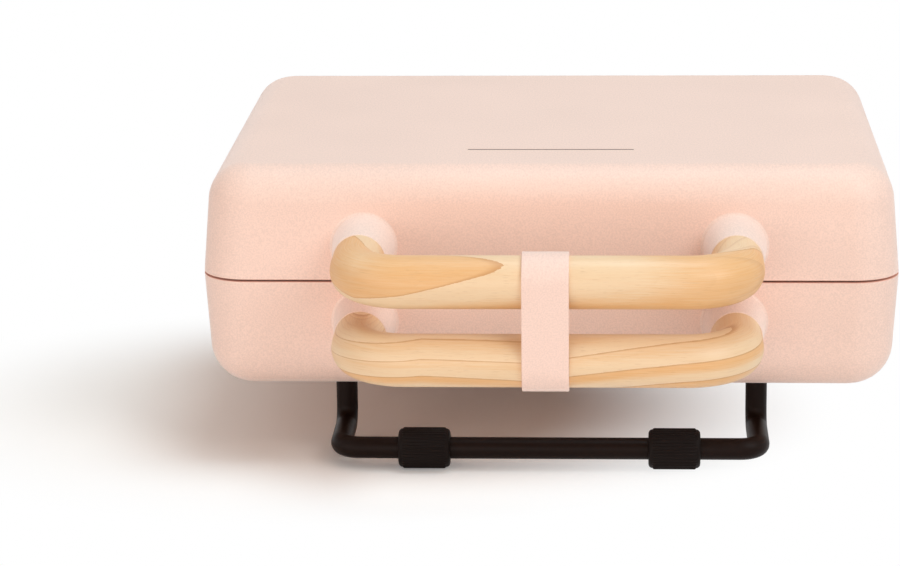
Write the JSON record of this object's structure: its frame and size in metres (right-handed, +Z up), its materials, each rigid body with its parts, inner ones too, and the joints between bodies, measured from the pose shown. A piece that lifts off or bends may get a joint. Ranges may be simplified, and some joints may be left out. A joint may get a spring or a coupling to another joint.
{
  "type": "multi-plate waffle maker",
  "caption": "Countertop waffle maker: hinged drafted lid over pegged plates, bent wooden handles held by a strap, wire stands with ribbed feet.",
  "frame": {"origin": "on the table, under the middle of the whole outline", "axes": "+X to the right seen from the handles, +Y towards the hinge at the back, +Z up"},
  "size_m": [0.255, 0.2746, 0.11],
  "materials": {
    "shell_pink": "fine matt speckle",
    "strap_pink": "matt silicone",
    "maple": "clear satin lacquer",
    "stand_black": "satin powder coat",
    "foot_rubber": "matt",
    "plate_coating": "non-stick coating on cast aluminium",
    "frame_grey": "heat-proof moulding",
    "catch_grey": "satin",
    "sheet_steel": "rolled sheet",
    "element_steel": "heat-tinted tube",
    "steel": "zinc plated",
    "spring_steel": "tempered",
    "light_guide_amber": "tinted acrylic",
    "board_green": "solder mask",
    "lamp_glass": "clear",
    "ceramic": "unglazed",
    "bush_black": "satin",
    "lead_insulation": "glass-fibre sleeve"
  },
  "bodies": {
    "base": {"base_shell": "shell_pink", "lower_collar_left": "shell_pink", "lower_collar_right": "shell_pink", "lower_handle": "maple", "lower_handle_screws": "steel", "front_stand": "stand_black", "rear_stand": "stand_black", "front_foot_left": "foot_rubber", "front_foot_right": "foot_rubber", "rear_foot_left": "foot_rubber", "rear_foot_right": "foot_rubber", "stand_pins": "steel", "hinge_pin_left": "steel", "hinge_pin_right": "steel", "lower_frame": "frame_grey", "lower_plate": "plate_coating", "lower_heater": "element_steel", "lower_reflector": "sheet_steel", "lower_heater_clips": "sheet_steel", "lower_catch_spring": "spring_steel", "base_screws": "steel", "cord_bush": "bush_black", "terminal_block": "ceramic", "thermostat": "ceramic", "base_wiring": "lead_insulation"},
    "lid": {"lid_shell": "shell_pink", "upper_collar_left": "shell_pink", "upper_collar_right": "shell_pink", "upper_handle": "maple", "upper_handle_screws": "steel", "upper_frame": "frame_grey", "upper_plate": "plate_coating", "upper_heater": "element_steel", "upper_reflector": "sheet_steel", "upper_heater_clips": "sheet_steel", "upper_catch_spring": "spring_steel", "lid_screws": "steel", "light_guide": "light_guide_amber", "lamp_board": "board_green", "pilot_lamps": "lamp_glass", "board_screws": "steel", "thermal_fuse": "steel", "lid_wiring": "lead_insulation"},
    "strap": {"handle_strap": "strap_pink", "strap_lip": "strap_pink"},
    "lower_catch": {"lower_catch": "catch_grey"},
    "upper_catch": {"upper_catch": "catch_grey"}
  },
  "joints": [
    {"name": "lid_hinge", "type": "hinge", "parent": "base", "child": "lid", "pos_m": [0, 0.1318, 0.0694], "axis": [-1, 0, 0], "range_deg": [0, 100], "deforming": ["strap_lip"]},
    {"name": "strap_swing", "type": "hinge", "parent": "lid", "child": "strap", "pos_m": [0, -0.1266, 0.0823], "axis": [-1, 0, 0], "range_deg": [0, 110]},
    {"name": "lower_catch_slide", "type": "slide", "parent": "base", "child": "lower_catch", "axis": [0, -1, 0], "range_m": [0, 0.004], "stiffness_N_per_m": 400, "springref_m": -0.002, "deforming": ["lower_catch_spring"]},
    {"name": "upper_catch_slide", "type": "slide", "parent": "lid", "child": "upper_catch", "axis": [0, -1, 0], "range_m": [0, 0.004], "stiffness_N_per_m": 400, "springref_m": -0.002, "deforming": ["upper_catch_spring"]}
  ]
}
